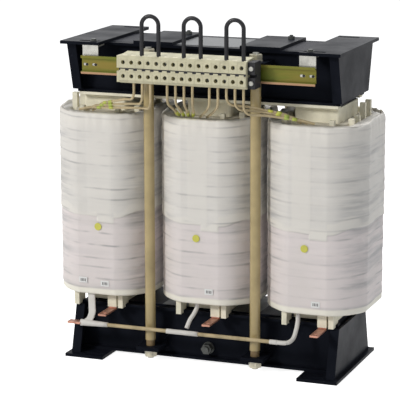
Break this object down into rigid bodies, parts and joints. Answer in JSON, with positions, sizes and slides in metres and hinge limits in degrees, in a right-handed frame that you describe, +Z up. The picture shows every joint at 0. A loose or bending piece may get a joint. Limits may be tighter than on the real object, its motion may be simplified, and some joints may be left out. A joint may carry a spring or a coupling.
{
  "type": "dry type transformer",
  "caption": "Three-phase dry-type transformer: taped coils on an open laminated core in a black steel frame, with tie rods, a rail of cream terminals, black wire loops and copper flags.",
  "frame": {"origin": "floor level at the middle of the four foot slots, under the middle limb", "axes": "+Z up, -Y towards the terminal side, +X to the right seen from that side"},
  "size_m": [0.633, 0.3018, 0.69],
  "materials": {
    "core_steel": "bare laminated electrical steel",
    "black_paint": "black enamel",
    "cream_board": "pressed insulating board",
    "winding_tape": "woven insulating tape, varnished",
    "inner_tape": "woven insulating tape",
    "tan_tube": "resin glass tube",
    "zinc": "bright zinc plate",
    "yellow_zinc": "yellow chromate zinc plate",
    "terminal_plastic": "cream moulded plastic",
    "grey_plastic": "dark grey moulded plastic",
    "black_cord": "black wire insulation",
    "tan_sleeve": "woven glass sleeving",
    "copper": "bare copper bar"
  },
  "bodies": {
    "root": {"clamp_strip_front": "cream_board", "clamp_strip_rear": "cream_board", "core_limb_left": "core_steel", "core_limb_middle": "core_steel", "core_limb_right": "core_steel", "cross_plate_left": "black_paint", "cross_plate_right": "black_paint", "din_rail": "yellow_zinc", "duct_sticks": "cream_board", "end_clamp_left": "grey_plastic", "end_clamp_right": "grey_plastic", "end_clamp_screws": "zinc", "former_left": "cream_board", "former_middle": "cream_board", "former_right": "cream_board", "inner_winding_left": "inner_tape", "inner_winding_middle": "inner_tape", "inner_winding_right": "inner_tape", "jumpers": "black_cord", "leads_left": "tan_sleeve", "leads_middle": "tan_sleeve", "leads_right": "tan_sleeve", "lower_clamp_front": "black_paint", "lower_clamp_rear": "black_paint", "lower_end_left": "black_paint", "lower_end_right": "black_paint", "lower_yoke": "core_steel", "lower_yoke_boards": "cream_board", "outer_winding_left": "winding_tape", "outer_winding_middle": "winding_tape", "outer_winding_right": "winding_tape", "phase_flags": "copper", "phase_wraps": "winding_tape", "rail_bracket_left": "zinc", "rail_bracket_right": "zinc", "rail_screws": "zinc", "rod_tabs_lower": "black_paint", "rod_tabs_upper": "black_paint", "star_bar": "winding_tape", "star_palm": "copper", "star_taps": "winding_tape", "support_blocks": "cream_board", "tab_bolts": "black_paint", "terminal_blocks": "terminal_plastic", "tie_collars": "tan_tube", "tie_nuts": "zinc", "tie_studs": "zinc", "tie_tubes": "tan_tube", "tie_washers": "zinc", "upper_clamp_front": "black_paint", "upper_clamp_rear": "black_paint", "upper_end_left": "black_paint", "upper_end_right": "black_paint", "upper_yoke": "core_steel", "upper_yoke_boards": "cream_board", "yoke_bolt": "zinc", "yoke_bolt_nuts": "zinc", "yoke_bolt_washers": "zinc"}
  },
  "joints": []
}
